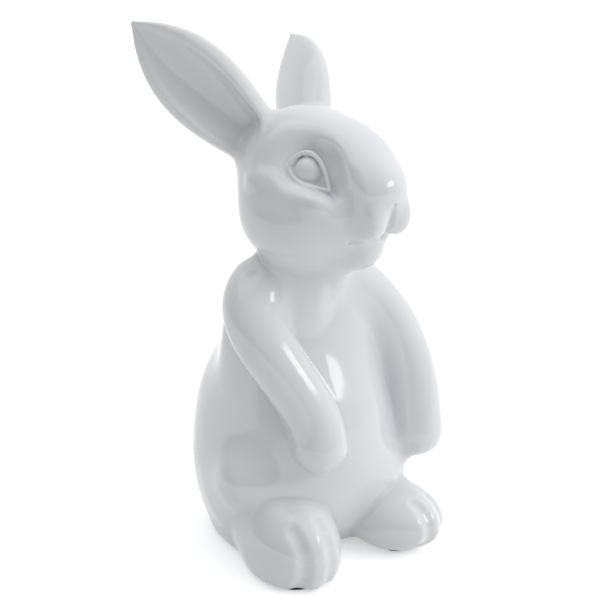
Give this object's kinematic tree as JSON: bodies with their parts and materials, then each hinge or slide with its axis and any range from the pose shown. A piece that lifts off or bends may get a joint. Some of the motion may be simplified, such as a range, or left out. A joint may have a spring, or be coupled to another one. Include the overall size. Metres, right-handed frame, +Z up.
{
  "type": "rabbit ornament",
  "caption": "Seated rabbit ornament in white glazed ceramic: hollow pear-shaped body, head turned aside, scooped ears leaning back, toed feet, and a felted flat base to stand on.",
  "frame": {"origin": "on the base felt's underside, 14 mm ahead of the felt's middle, on the surface that the ornament stands on", "axes": "+Z up, -Y straight ahead of the rabbit's body, +X to the rabbit's left"},
  "size_m": [0.1922, 0.2113, 0.3858],
  "materials": {
    "glaze": "clear gloss over white",
    "bisque": "unglazed",
    "felt": "pressed wool felt"
  },
  "bodies": {
    "root": {"torso": "glaze", "head": "glaze", "ear_right": "glaze", "ear_left": "glaze", "eye_right": "glaze", "eye_left": "glaze", "arm_right": "glaze", "arm_left": "glaze", "foot_right": "glaze", "foot_left": "glaze", "tail": "glaze", "base_slab": "bisque", "base_felt": "felt", "foot_felt_right": "felt", "foot_felt_left": "felt"}
  },
  "joints": []
}
